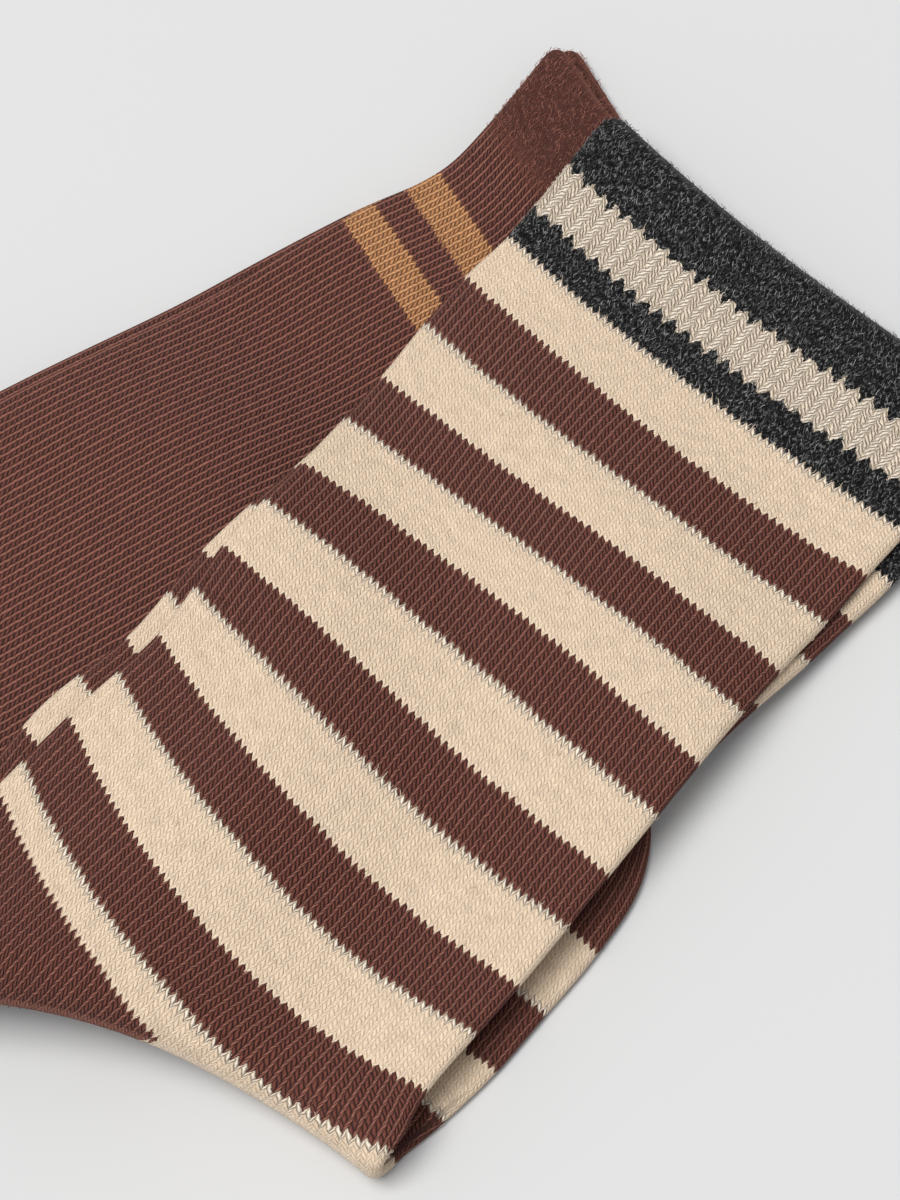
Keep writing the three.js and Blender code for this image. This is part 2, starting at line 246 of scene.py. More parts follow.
def sag_at(u, near_back, near_front):
    """How far a row is bowed toward the foot at a share u of its width."""
    return 3 * u * (1 - u) ** 2 * near_back + 3 * u**2 * (1 - u) * near_front


def points_on(rows, u):
    """Plan points of rows (n, 6) at shares u (n, m) of their width."""
    back, front = rows[:, None, 0:2], rows[:, None, 2:4]
    along = front - back
    width = np.linalg.norm(along, axis=2, keepdims=True)
    to_foot = np.stack([along[..., 1], -along[..., 0]], -1) / width
    u = u[..., None]
    return back + along * u + to_foot * sag_at(u, rows[:, None, 4:5], rows[:, None, 5:6])


print("striped leg, mm:", round(reach_of(as_array(STRIPED_LEG))[-1]))

# %% A smooth curve down each wale
def plan_at(table, at, u):
    """Plan points at distances `at` (n) from the first row and shares u (n, m) of the width."""
    i, t = between_rows(table, at)
    t = t[:, None, None]
    p0, p1, p2, p3 = (points_on(table[np.clip(i + k, 0, len(table) - 1), 1:], u) for k in (-1, 0, 1, 2))
    before, here, after = (
        np.linalg.norm(b - a, axis=2, keepdims=True) for a, b in ((p0, p1), (p1, p2), (p2, p3))
    )
    start, end = (p2 - p0) / (before + here) * here, (p3 - p1) / (here + after) * here
    return (
        (2 * t**3 - 3 * t**2 + 1) * p1 + (t**3 - 2 * t**2 + t) * start
        + (3 * t**2 - 2 * t**3) * p2 + (t**3 - t**2) * end
    )


# %% [markdown]
# ## The mate's own rows
# They are the upper sock's, turned about a pivot, and then its own. It fills a part of the upper sock's
# fold, so its last row is cut from that fold's curve.

# %% Rows of an under sock
def fold_within(fold, share):
    """The part of the upper sock's fold that the under sock fills, as a row of its own."""
    (u0, u1), (sag_back, sag_front) = share, fold[5:7]
    width = np.hypot(*(fold[3:5] - fold[1:3]))

    def slope(u):
        return 3 * ((1 - u) * (1 - 3 * u) * sag_back + u * (2 - 3 * u) * sag_front)

    ends = points_on(fold[None, 1:], np.array([[u0, u1]]))[0]
    rise = sag_at(u1, sag_back, sag_front) - sag_at(u0, sag_back, sag_front)
    chord = rise / (u1 - u0)
    tilt = math.cos(math.atan2(rise, width * (u1 - u0)))
    handles = [(slope(u0) - chord) * (u1 - u0) / 3 / tilt, -(slope(u1) - chord) * (u1 - u0) / 3 / tilt]
    return np.array([fold[0], *ends[0], *ends[1], *handles])


def turned_under(leg, under):
    """The under sock's leg: the upper one's rows turned about a pivot, then its own last rows and fold."""
    angle = math.radians(under["turn"])
    turn = np.array([[math.cos(angle), -math.sin(angle)], [math.sin(angle), math.cos(angle)]])
    pivot, shift = np.array(under["pivot"]), np.array(under["shift"])
    slip = np.array(under["slip"])
    free = leg[: len(slip)].copy()
    free[:, 0] += slip
    for columns in (slice(1, 3), slice(3, 5)):
        free[:, columns] = (free[:, columns] - pivot) @ turn.T + pivot + shift
    return np.vstack([free, as_array(under["last"]), fold_within(leg[-1], under["fold"])])


def under_foot(foot, fold):
    """The upper sock's foot, drawn in at both edges so that it lies inside."""
    drawn_in = foot.copy()
    width = foot[:, 3:5] - foot[:, 1:3]
    drawn_in[:, 1:3] += width * UNDER_FOOT_BACK
    drawn_in[:, 3:5] -= width * UNDER_FOOT_FRONT
    drawn_in[0, 1:] = fold[1:]
    return drawn_in


print("striped mate's leg:", len(turned_under(as_array(STRIPED_LEG), STRIPED_UNDER)), "rows")

# %% [markdown]
# ## The middle of the tube
# The outer skin, the inner skin and the stitches all follow from the tube's middle surface. Round the fold
# it is a half circle, whose radius is half the height between the leg above and the foot below.

# %% Where the tube's middle lies
SIDEWAYS = 0.01


def stations(sock, part, at, u, angle):
    """Middle of the tube, and its upward direction, at distances `at` and shares u of the width.

    angle is 0 on the leg, pi on the foot and between in the fold."""
    plan = plan_at(sock[part], at, u)
    along = plan_at(sock[part], at, u + SIDEWAYS) - plan_at(sock[part], at, u - SIDEWAYS)
    along /= np.linalg.norm(along, axis=2, keepdims=True)
    outward = np.stack([along[..., 1], -along[..., 0]], -1)
    base = sock["support"](plan)
    top = base + 2 * STEP * lift(plan, sock["spread"], FOOT_REACH) + TUBE / 2 + sock["leg_level"] * STEP
    bottom = base + TUBE / 2 + sock["foot_level"] * STEP
    radius = (top - bottom) / 2
    turn = angle[:, None]
    out = radius * np.sin(turn)
    height = (top + bottom) / 2 + radius * np.cos(turn)
    middle = np.dstack([plan + outward * out[..., None], height])
    up = np.dstack([outward * np.sin(turn)[..., None], np.broadcast_to(np.cos(turn), height.shape)])
    return middle, up


# %% [markdown]
# ## Rings round the tube
# Knit is a tube of rings, so the mesh is one too. Each ring runs across the top, round the front edge,
# back underneath and round the back edge. The cuff's corners are rounded, because a welt draws in there.

# %% Lay one stretch of rings
ACROSS = 60
EDGE = 6
CORNER = 3.0
BESIDE = 0.004
CORNERS_ROUND = 2 * (ACROSS + EDGE)


def shares_across(sock, part, at):
    """Shares of the width where the wales run, clear of the round edges and of the cuff's corners."""
    ends = plan_at(sock[part], at, np.array([[0.0, 1.0]] * len(at)))
    width = np.linalg.norm(ends[:, 1] - ends[:, 0], axis=1)
    short = np.maximum(CORNER - at, 0) * (part == "leg")
    inset = ((TUBE / 2 + CORNER - np.sqrt(CORNER**2 - short**2)) / width)[:, None]
    return inset + (1 - 2 * inset) * np.linspace(0, 1, ACROSS + 1)


def rings(sock, part, at, angle, radius):
    """Closed rings of corners round the tube, at a distance from its middle for each row."""
    u = shares_across(sock, part, at)
    middle, up = stations(sock, part, at, u, angle)
    before = stations(sock, part, at, u - BESIDE, angle)[0]
    after = stations(sock, part, at, u + BESIDE, angle)[0]
    along = (after - before) / np.linalg.norm((after - before)[..., :2], axis=2, keepdims=True)
    radius = radius[:, None, None]
    arc = np.pi * np.arange(1, EDGE) / EDGE
    front = [middle[:, -1:] + (along[:, -1:] * np.sin(a) + up[:, -1:] * np.cos(a)) * radius for a in arc]
    back = [middle[:, :1] + (-along[:, :1] * np.sin(a) + up[:, :1] * np.cos(a)) * radius for a in arc[::-1]]
    top, under = middle + up * radius, middle - up * radius
    return np.concatenate([top, *front, under[:, ::-1], *back], axis=1), middle, u


print("each ring has", CORNERS_ROUND, "corners")

# %% [markdown]
# ## The whole sock
# An outer and an inner skin give the knit its thickness, and a rounded lip joins them at the cuff. The
# inner skin stops a little before the toe, so that the toe is closed with knit and not a knife edge.

# %% All rings of a sock
ROW_LENGTH = 1.3
CUFF_ROW_LENGTH = 0.3
TURN = 12
LIP_TURN = 6
TOE_RINGS = 3


def stretches(sock):
    """The leg, the fold and the foot, each with its rings' distances and angles."""
    leg_reach, foot_reach = reach_of(sock["leg"])[-1], reach_of(sock["foot"])[-1]
    near_cuff = np.arange(WALL / 2, CORNER, CUFF_ROW_LENGTH)
    leg_at = np.concatenate([near_cuff, np.linspace(CORNER, leg_reach, 2 + int(leg_reach / ROW_LENGTH))])
    foot_at = np.linspace(0, foot_reach, 2 + int(foot_reach / ROW_LENGTH))
    return (
        ("leg", leg_at, 0 * leg_at),
        ("leg", np.full(TURN - 1, leg_reach), np.pi * np.arange(1, TURN) / TURN),
        ("foot", foot_at, np.full(len(foot_at), np.pi)),
    )


def skin(sock, radius):
    """Rings, middles and shares of the width of a skin that lies at one distance from the middle."""
    laid = [rings(sock, part, at, angle, np.full(len(at), radius)) for part, at, angle in stretches(sock)]
    return [np.concatenate(pieces) for pieces in zip(*laid)]


def knit_down(sock):
    """The knit between the cuff's edge and each ring, from the tables."""
    down = []
    for part, at, _ in stretches(sock):
        i, t = between_rows(sock[part], at)
        rows = sock[part][:, 0]
        down.append(rows[i] + (rows[i + 1] - rows[i]) * t)
    return np.concatenate(down)


def lay_sock(sock):
    """Outer skin, inner skin and lip of a sock, with where its rings lie on the knit."""
    outer, middle, u = skin(sock, TUBE / 2)
    turn = np.linspace(-np.pi / 2, np.pi / 2, LIP_TURN + 1)[1:-1]
    lip_radius = (TUBE + SLIT) / 4 + WALL / 2 * np.sin(turn)
    lip = rings(sock, "leg", WALL / 2 * (1 - np.cos(turn)), 0 * turn, lip_radius)[0]
    return dict(
        outer=outer, inner=skin(sock, SLIT / 2)[0][:-TOE_RINGS], lip=lip, at=middle, u=u,
        down=knit_down(sock), count=[len(at) for _, at, _ in stretches(sock)],
    )


# %% [markdown]
# ## Which course lies where
# A stripe is a run of courses, so every place needs its course number. Down the leg the tables give it,
# and where the leg fans out into the heel it is measured. Round the fold the stitches keep their slant to
# the crease, as knit does when it is turned over on itself, so that slant is read off and carried on.

# %% The slant of the stitches at the crease
SMOOTHING = 9


def smoothed(values):
    """Values along the crease, with their small unevenness taken out."""
    weights = np.hanning(SMOOTHING) / np.hanning(SMOOTHING).sum()
    return np.convolve(np.pad(values, SMOOTHING // 2, mode="edge"), weights, "valid")


def slant_at_crease(middle, down, last):
    """Knit passed, and wales slipped sideways, for each millimetre straight over the crease."""
    crease = middle[last, :, :2]
    along = np.gradient(crease, axis=0)
    spacing = np.linalg.norm(along, axis=1)
    along /= spacing[:, None]
    outward = np.stack([along[:, 1], -along[:, 0]], -1)
    last_step = crease - middle[last - 2, :, :2]
    sideways, onward = (last_step * along).sum(1), (last_step * outward).sum(1)
    down_along = np.gradient(down[last]) / spacing
    down_onward = (down[last] - down[last - 2] - down_along * sideways) / onward
    return smoothed(down_onward), smoothed(-sideways / onward)


# %% Course numbers over the whole sock
FAN_STRETCH = 0.07
SLANT_FADES_OVER = 12


def courses(sock, laid):
    """Course number and sideways wale shift, in millimetres, of every station."""
    n_leg, n_turn, _ = laid["count"]
    steps = np.linalg.norm(np.diff(laid["at"], axis=0), axis=2)
    down = np.zeros(laid["at"].shape[:2])
    down[:n_leg] = laid["down"][:n_leg, None]
    fan_start = sock["leg"][-3, 0] if sock["heel_from"] is None else sock["heel_from"]
    for i in range(int(np.searchsorted(laid["down"][:n_leg], fan_start)), n_leg):
        down[i] = down[i - 1] + steps[i - 1] * (1 - FAN_STRETCH * np.sin(np.pi * laid["u"][i] ** 2))

    down_onward, wale_onward = slant_at_crease(laid["at"], down, n_leg - 1)
    shift = np.zeros_like(down)
    fold_end = n_leg + n_turn
    past = 0
    for i in range(n_leg, fold_end + 1):
        past = past + steps[i - 1]
        down[i] = down[n_leg - 1] + past * down_onward
        shift[i] = past * wale_onward
    foot = laid["down"][fold_end:]
    fade = np.clip(1 - (foot - foot[0]) / SLANT_FADES_OVER, 0, 1)
    extra = down[fold_end] - foot[0]
    down[fold_end:] = foot[:, None] + extra[None, :] * fade[:, None]
    shift[fold_end:] = shift[fold_end][None, :] * fade[:, None]
    return down / COURSE, shift


# %% [markdown]
# ## The heel
# The striped sock's heel is a brown wedge that ends in a point at the fold. It could be a piece of its own,
# but it is knitted in one with the leg. So each place says how far inside the wedge it lies, and the
# material cuts the wedge's edge along whole stitches.

# %% How far inside the heel a place lies
HEEL_START_BACK = 140.5
HEEL_START_TIP = 140.2
HEEL_TIP = 0.565
HEEL_ACROSS = 70
HEEL_TAPER = 0.8


def heel_mask(sock, laid, course):
    """How far inside the heel each station is, in millimetres; below 0 is outside."""
    if sock["heel_from"] is None:
        return np.full(course.shape, -1.0)
    past = course * COURSE - (HEEL_START_BACK + (HEEL_START_TIP - HEEL_START_BACK) * laid["u"] / HEEL_TIP)
    limit = (HEEL_TIP - laid["u"]) * HEEL_ACROSS - HEEL_TAPER * np.maximum(past, 0)
    return np.minimum(past, limit)


# %% [markdown]
# ## Which wale lies where
# Every ring has the same 120 wales, with a few of them round each edge. They are kept as a UV map and not
# as a value for each corner, because a UV map may jump where a ring closes. So the last wale doesn't
# run back across the sock to the first.

# %% Wale numbers round each ring
EDGE_WALES = 1.7
AROUND = np.concatenate([
    np.arange(ACROSS + 1), np.full(EDGE - 1, ACROSS), np.arange(ACROSS, -1, -1), np.full(EDGE - 1, 0),
])


def wales_round(laid, shift):
    """Wale numbers round each outer ring, with one more at the end where the ring closes."""
    top = np.linspace(EDGE_WALES, WALES / 2 - EDGE_WALES, ACROSS + 1)
    edge = np.linspace(WALES / 2 - EDGE_WALES, WALES / 2 + EDGE_WALES, EDGE + 1)[1:-1]
    one_round = np.concatenate([top, edge, top + WALES / 2, edge + WALES / 2, [WALES + EDGE_WALES]])
    perimeter = np.linalg.norm(np.roll(laid["outer"], -1, axis=1) - laid["outer"], axis=2).sum(1)
    side = np.where(np.arange(CORNERS_ROUND) < ACROSS + EDGE, 1, -1)
    slid = shift[:, AROUND] * (WALES / perimeter)[:, None] * side
    return one_round + np.hstack([slid, slid[:, :1]])


# %% [markdown]
# ## One stack of rings
# The rings are stacked from the inner toe up to the cuff, over the lip and down the outside. Then one rule
# joins each ring to the next, and only the two ends need a cap.

# %% Stack the rings and cap the ends
LIP_COURSE = 0.1


def stack(laid, course, heel, wales):
    """Corners, courses, heel distances and wales of all rings, from the inner toe to the outer toe."""
    inner, lip = len(laid["inner"]), len(laid["lip"])
    lip_course = np.full((lip, ACROSS + 1), LIP_COURSE)
    return dict(
        corners=np.concatenate([laid["inner"][::-1], laid["lip"], laid["outer"]]),
        course=np.concatenate([course[:inner][::-1], lip_course, course])[:, AROUND],
        heel=np.concatenate([heel[:inner][::-1], np.repeat(heel[:1], lip, axis=0), heel])[:, AROUND],
        wales=np.concatenate([np.repeat(wales[:1], inner + lip, axis=0), wales]),
        lip=slice(inner, inner + lip), outer=slice(inner + lip, None),
    )


def cap(ring):
    """Faces that close a ring: quads across the slit and one face at each edge."""
    top, under = ring[: ACROSS + 1], ring[ACROSS + EDGE : 2 * ACROSS + EDGE + 1][::-1]
    front = ring[ACROSS : ACROSS + EDGE + 1]
    back = np.concatenate([ring[2 * ACROSS + EDGE :], ring[:1]])
    faces = [[top[k], under[k], under[k + 1], top[k + 1]] for k in range(ACROSS)]
    return faces + [list(front[::-1]), list(back[::-1])]


def four_of(rows, beside):
    """The four values round each face, from rows and the same rows one corner further on."""
    return np.stack([rows[1:], beside[1:], beside[:-1], rows[:-1]], -1).reshape(-1, 4)


# %% [markdown]
# ## What each corner carries
# The material and the fibres read four things from the mesh: how far inside the heel a corner lies, the
# fold's crease, how brushed the knit is, and which way the wales run. Nothing is brushed underneath,
# where the sock rests flat.

# %% Values for the corners
BARE_BELOW = 1.2


def brushed_share(sock, rows):
    """How densely loose fibres stand: all over the lip, as the sock says outside, and none beneath."""
    share = np.zeros(rows["course"].shape)
    share[rows["outer"]] = sock["brushed"](rows["course"][rows["outer"]])
    share[rows["lip"]] = 1
    share[rows["corners"][..., 2] < BARE_BELOW] = 0
    return share


def crease_share(laid, rows):
    """1 at the outermost line of the fold, falling to 0 where the fold begins and ends."""
    n_leg, n_turn, _ = laid["count"]
    share = np.zeros(rows["course"].shape)
    outer = share[rows["outer"]]
    outer[n_leg : n_leg + n_turn] = np.sin(np.pi * np.arange(1, TURN) / TURN)[:, None]
    return share


def wale_ways(laid, rows):
    """The wales' direction toward the cuff at each outer corner."""
    ways = np.zeros(rows["corners"].shape)
    ways[rows["outer"]] = -np.gradient(laid["outer"], axis=0)
    return ways


def set_attribute(mesh, name, values):
    kind, field = ("FLOAT_VECTOR", "vector") if values.ndim == 3 else ("FLOAT", "value")
    attribute = mesh.attributes.new(name, kind, "POINT")
    attribute.data.foreach_set(field, values.astype(np.float32).ravel())


# %% [markdown]
# ## From rings to a mesh
# The knit becomes one closed mesh. Its corners, faces and values are handed over as whole lists, because
# a call for each corner would be far slower.

# %% Build a sock's mesh
def stitch_map(mesh, rows):
    """Wale and course of each face corner, as a UV map; the caps keep wale 0."""
    wales = four_of(rows["wales"][:, :-1], rows["wales"][:, 1:])
    corner_ids = np.zeros(len(mesh.loops), np.int32)
    mesh.loops.foreach_get("vertex_index", corner_ids)
    stitches = np.zeros((len(mesh.loops), 2), np.float32)
    stitches[:, 1] = rows["course"].ravel()[corner_ids]
    stitches[: wales.size, 0] = wales.ravel()
    mesh.uv_layers.new(name="stitches").data.foreach_set("uv", stitches.ravel())


def build_mesh(name, sock):
    laid = lay_sock(sock)
    course, shift = courses(sock, laid)
    rows = stack(laid, course, heel_mask(sock, laid, course), wales_round(laid, shift))
    points = rows["corners"].reshape(-1, 3).copy()
    points[:, :2] -= PLAN_MIDDLE
    ids = np.arange(len(points)).reshape(-1, CORNERS_ROUND)
    quads = four_of(ids, np.roll(ids, -1, axis=1))
    caps = cap(ids[-1]) + [face[::-1] for face in cap(ids[0])]
    mesh = bpy.data.meshes.new(name)
    mesh.from_pydata((points * MM).tolist(), [], quads.tolist() + [[int(v) for v in face] for face in caps])
    stitch_map(mesh, rows)
    set_attribute(mesh, "heel", rows["heel"])
    set_attribute(mesh, "crease", crease_share(laid, rows))
    set_attribute(mesh, "brushed", brushed_share(sock, rows))
    set_attribute(mesh, "wale_way", wale_ways(laid, rows))
    mesh.polygons.foreach_set("use_smooth", np.ones(len(mesh.polygons), bool))
    mesh.update()
    sock_object = bpy.data.objects.new(name, mesh)
    bpy.context.collection.objects.link(sock_object)
    print(name, "faces", len(mesh.polygons), "courses to", round(float(course.max())))
    return sock_object


# %% [markdown]
# ## Writing nodes in reading order
# Materials and the fibres' tree are made of the same small sums. A helper that adds a node, fills it and
# gives back its results lets them be written from left to right.

# %% A helper for node trees
class Graph:
    """Adds nodes to a tree. A value may be a number or another node's result."""

    def __init__(self, tree):
        self.nodes, self.links = tree.nodes, tree.links

    def put(self, socket, value):
        if isinstance(value, bpy.types.NodeSocket):
            self.links.new(value, socket)
        else:
            socket.default_value = value

    def add(self, kind, inputs=(), **settings):
        """The results of a new node, with its settings made and its inputs filled."""
        node = self.nodes.new(kind)
        for name, value in settings.items():
            setattr(node, name, value)
        for name, value in dict(inputs).items():
            self.put(node.inputs[name], value)
        return node.outputs

    def do(self, operation, *values):
        return self.add("ShaderNodeMath", enumerate(values), operation=operation)[0]

    def both(self, first, second):
        return self.do("MULTIPLY", first, second)

    def opposite(self, share):
        return self.do("SUBTRACT", 1, share)

    def blend(self, share, low, high):
        """low where share is 0, high where it is 1."""
        return self.do("ADD", low, self.both(self.do("SUBTRACT", high, low), share))

    def between(self, value, low, high):
        return self.both(self.do("GREATER_THAN", value, low), self.do("LESS_THAN", value, high))

    def vector(self, *values):
        return self.add("ShaderNodeCombineXYZ", enumerate(values))[0]

    def scaled(self, vector, scale):
        return self.add("ShaderNodeVectorMath", {0: vector, "Scale": scale}, operation="SCALE")[0]


# %% [markdown]
# ## The stitch
# A knit stitch is two slanting strands that meet in a point toward the cuff, and here the left one catches
# the light. One group draws it from the wale and course numbers, so both knits share it and only say how
# steep, how wide and how open it is.

# %% The stitch group's sockets
STITCH_INPUTS = ("Wale", "Course", "Slant", "Lit share", "Lit slant", "Lit gap")
STITCH_OUTPUTS = ("Height", "Yarn course", "Lit strand")


def new_group(name):
    group = bpy.data.node_groups.new(name, "ShaderNodeTree")
    for label in STITCH_INPUTS:
        group.interface.new_socket(label, in_out="INPUT", socket_type="NodeSocketFloat")
    for label in STITCH_OUTPUTS:
        group.interface.new_socket(label, in_out="OUTPUT", socket_type="NodeSocketFloat")
    return group


# %% Draw the stitch
STRAND_ROUNDNESS = 2.5
WALE_ROUNDNESS = 3
WALE_VALLEY = 0.3


def stitch_group():
    group = new_group("knit stitch")
    g = Graph(group)
    given, results = g.add("NodeGroupInput"), g.nodes.new("NodeGroupOutput").inputs
    lit_share = given["Lit share"]

    def rounded(share, power):
        """1 in the middle of a strand, 0 at its sides."""
        return g.opposite(g.do("POWER", g.do("ABSOLUTE", g.do("SUBTRACT", g.both(share, 2), 1)), power))

    across = g.do("FRACT", given["Wale"])
    left = g.do("LESS_THAN", across, lit_share)
    to_left = g.do("DIVIDE", g.do("SUBTRACT", lit_share, across), lit_share)
    to_right = g.do("DIVIDE", g.do("SUBTRACT", across, lit_share), g.opposite(lit_share))
    from_point = g.do("MAXIMUM", g.both(to_left, given["Lit slant"]), to_right)
    yarn_course = g.do("SUBTRACT", given["Course"], g.both(from_point, given["Slant"]))
    strand = rounded(g.do("FRACT", yarn_course), STRAND_ROUNDNESS)
    side_on = rounded(g.do("MAXIMUM", to_left, to_right), WALE_ROUNDNESS)
    filled = g.blend(g.both(left, given["Lit gap"]), strand, 1)
    g.put(results["Height"], g.both(filled, g.blend(side_on, WALE_VALLEY, 1)))
    g.put(results["Yarn course"], yarn_course)
    g.put(results["Lit strand"], g.both(left, g.both(filled, side_on)))
    return group


STITCH = stitch_group()
print("stitch group has", len(STITCH.nodes), "nodes")

# %% [markdown]
# ## The yarns
# Each yarn has three shades: the strand, a painted shade for the gap beside it, and a painted highlight for
# the side that catches light. One flat colour would look like paint. Blender works with linear colours, so
# the screen's are turned into them.

# %% Yarn colours
def linear(r, g, b):
    def one(v):
        v /= 255
        return v / 12.92 if v <= 0.04045 else ((v + 0.055) / 1.055) ** 2.4

    return (one(r), one(g), one(b), 1)


YARN = {
    # name: (strand, gap in painted shade, strand with painted highlight)
    "cream": (linear(216, 195, 171), linear(199, 175, 148), linear(225, 207, 185)),
    "brown": (linear(110, 63, 53), linear(42, 19, 14), linear(152, 100, 86)),
    "tan": (linear(188, 132, 88), linear(144, 94, 60), linear(208, 156, 110)),
    "oatmeal": (linear(219, 203, 183), linear(178, 161, 140), linear(238, 228, 214)),
    "charcoal": (linear(19, 19, 22), linear(7, 7, 9), linear(168, 168, 166)),
}
# Painted highlight for the first loops of each cream stripe, and painted shade for their gaps.
FIRST_LOOP_HIGHLIGHT = linear(244, 236, 222)
FIRST_LOOP_GAP_SHADE = linear(120, 96, 66)
print("yarns:", ", ".join(YARN))

# %% [markdown]
# ## A knit material
# Real stitches are never quite even, so the coordinates are pushed about by noise before the stitch is
# drawn. The course that decides the colour is feathered, because each loop's fibres reach into the next
# one. The noise lies in stitch coordinates, and so it follows the cloth round every fold.

# %% Coordinates, noise and the uneven stitch
FEATHER = 0.9
WALE_WOBBLE = 0.45


class Knit(Graph):
    def __init__(self, name):
        self.material = bpy.data.materials.new(name)
        self.material.use_nodes = True
        super().__init__(self.material.node_tree)
        split = self.add("ShaderNodeSeparateXYZ", {0: self.attribute("stitches", "Vector")})
        self.wale, self.course = split[0], split[1]
        self.stitch = self.nodes.new("ShaderNodeGroup")
        self.stitch.node_tree = STITCH

    def attribute(self, name, output="Fac"):
        return self.add("ShaderNodeAttribute", attribute_name=name)[output]

    def ramp(self, value, low, high):
        """0 below low, 1 above high, soft between."""
        inputs = {"Value": value, "From Min": low, "From Max": high}
        return self.add("ShaderNodeMapRange", inputs, interpolation_type="SMOOTHSTEP")["Result"]

    def noise(self, scale, detail=2.0, lean=0.0, across=1.0, along=1.0):
        """Uneven value about 0.5 in stitch coordinates, stretched and leaning as told."""
        leaned = self.do("ADD", self.wale, self.both(self.course, lean))
        place = self.vector(self.both(leaned, across), self.both(self.course, along))
        return self.add("ShaderNodeTexNoise", {"Vector": place, "Scale": scale, "Detail": detail})[0]

    def uneven(self, *args, **kwargs):
        """Noise about 0."""
        return self.do("SUBTRACT", self.noise(*args, **kwargs), 0.5)

    def mix(self, share, low, high):
        return self.add("ShaderNodeMix", {0: share, 6: low, 7: high}, data_type="RGBA")[2]

    def set_stitch(self, wale, **shape):
        """Fills the stitch group; returns a feathered course for the colours."""
        wobbly = self.do("ADD", wale, self.both(self.uneven(0.9, 3), WALE_WOBBLE))
        values = dict(shape, wale=wobbly, course=self.do("ADD", self.course, self.uneven(0.35)))
        for label, value in values.items():
            self.put(self.stitch.inputs[label.replace("_", " ").capitalize()], value)
        feather = self.both(self.uneven(6, 3, along=0.6), FEATHER)
        return self.do("ADD", self.stitch.outputs["Yarn course"], feather)


# %% [markdown]
# ## Light, lint and relief
# The look of knit is mostly light: strands, brushed fibre, the crease and the cuff's rim catch it, and the
# pinholes swallow it. Cream cotton fills its stitches and shows little of them. The relief is a bump,
# because one stitch is under a millimetre, and cotton has almost no shine.

# %% Strokes, light and brightness
STROKE_LIGHT = 0.6
CREASE_LIGHT = 0.9
CREASE_FROM = 0.93
RIM_COURSES = (0.2, 1.6)
PINHOLE_HEIGHT = (0.02, 0.24)
# Painted shade in the pinholes between stitches, weaker on soft cream yarn.
PINHOLE_SHADE = 0.3
SOFT_PINHOLE_SHADE = 0.05
BASE_BRIGHTNESS = 0.52


def brushed_strokes(m):
    """Short strokes of raised fibre, leaning both ways along the wales."""
    one = m.noise(1, 3, lean=0.3, across=4.5, along=0.9)
    other = m.noise(1, 3, lean=-0.22, across=4.2, along=1.0)
    return m.ramp(m.do("MAXIMUM", one, other), 0.47, 0.7)


def light_on(m, strokes, fuzzy, lit_share, rim_share):
    """Where the yarn catches light: strands or raised fibre, the crease and the cuff's rim."""
    strand = m.both(m.stitch.outputs["Lit strand"], lit_share)
    lit = m.blend(fuzzy, strand, m.both(m.do("POWER", strokes, 3), STROKE_LIGHT))
    crease = m.both(m.ramp(m.attribute("crease"), CREASE_FROM, 1.0), CREASE_LIGHT)
    rim = m.both(m.opposite(m.ramp(m.course, *RIM_COURSES)), rim_share)
    return m.do("MAXIMUM", m.do("MAXIMUM", lit, crease), rim)


def brightness(m, height, fine, soft_yarn):
    """Uneven dye and lint, with a painted shade in the pinholes between stitches."""
    mottle = m.do("ADD", m.both(fine, 0.6), m.both(m.noise(0.5, 3), 0.4))
    dark = m.blend(soft_yarn, PINHOLE_SHADE, SOFT_PINHOLE_SHADE)
    # Painted shade in the pinholes.
    pinhole_shade = m.both(m.opposite(m.ramp(height, *PINHOLE_HEIGHT)), dark)
    return m.both(m.do("ADD", BASE_BRIGHTNESS, mottle), m.opposite(pinhole_shade))


# %% Relief and surface
SOFT_RELIEF = 0.35
LINT_RELIEF = 0.35
UNEVEN_RELIEF = 1.2
SURFACE = {"Roughness": 0.92, "Specular IOR Level": 0.08, "Sheen Weight": 0.04, "Sheen Roughness": 0.6}


def relief(m, height, fine, soft_yarn, depth):
    """Bump from the strands, the lint and the cloth's own soft unevenness."""
    strands = m.both(height, m.blend(soft_yarn, 1, SOFT_RELIEF))
    cloth = m.both(m.noise(0.12, 2), UNEVEN_RELIEF)
    relief_height = m.do("ADD", m.do("ADD", strands, m.both(fine, LINT_RELIEF)), cloth)
    return m.add("ShaderNodeBump", {"Distance": depth * MM, "Height": relief_height})[0]


def finish(m, shades, fuzzy, soft_yarn, lit_share, rim_share, fuzz_low, depth):
    """Joins a yarn's three shades, the light and the relief into a cloth surface.

    fuzz_low is the height between brushed fibres; soft_yarn is 1 where the yarn fills its stitches."""
    strokes = brushed_strokes(m)
    fine = m.noise(5, 4, along=0.5)
    height = m.blend(fuzzy, m.stitch.outputs["Height"], m.blend(strokes, fuzz_low, 1))
    # Painted shade: the gap shade where the height is low, between strands and between brushed strokes.
    colour = m.mix(height, shades[1], shades[0])
    colour = m.mix(light_on(m, strokes, fuzzy, lit_share, rim_share), colour, shades[2])
    # Painted highlight on the loose fibres: by their mark they take the strand-in-light shade.
    colour = m.mix(m.attribute("fibre"), colour, shades[2])
    shaded = m.scaled(colour, brightness(m, height, fine, soft_yarn))
    normal = relief(m, height, fine, soft_yarn, depth)
    for label, value in {"Base Color": shaded, "Normal": normal, **SURFACE}.items():
        m.put(m.nodes["Principled BSDF"].inputs[label], value)
    return m.material


# %% [markdown]
# ## The striped knit
# From the cuff down: charcoal, oatmeal and charcoal bands in a coarse stitch, then cream and brown stripes
# of plain knit, with a brown heel and toe. The first loops of each cream stripe are drawn through brown
# ones, so they stand up, and they get a painted highlight and painted shade in their gaps. Course numbers
# decide the stripes, so they run round every fold.

# %% Striped knit
STRIPES_FROM = 32
STRIPE_PERIOD = 24
CREAM_COURSES = 13
TOE_FROM = 237
OATMEAL_FROM = 13.5
OATMEAL_TO = 24
RAGGED_LEG = 0.6
RAGGED_CUFF = 3.2


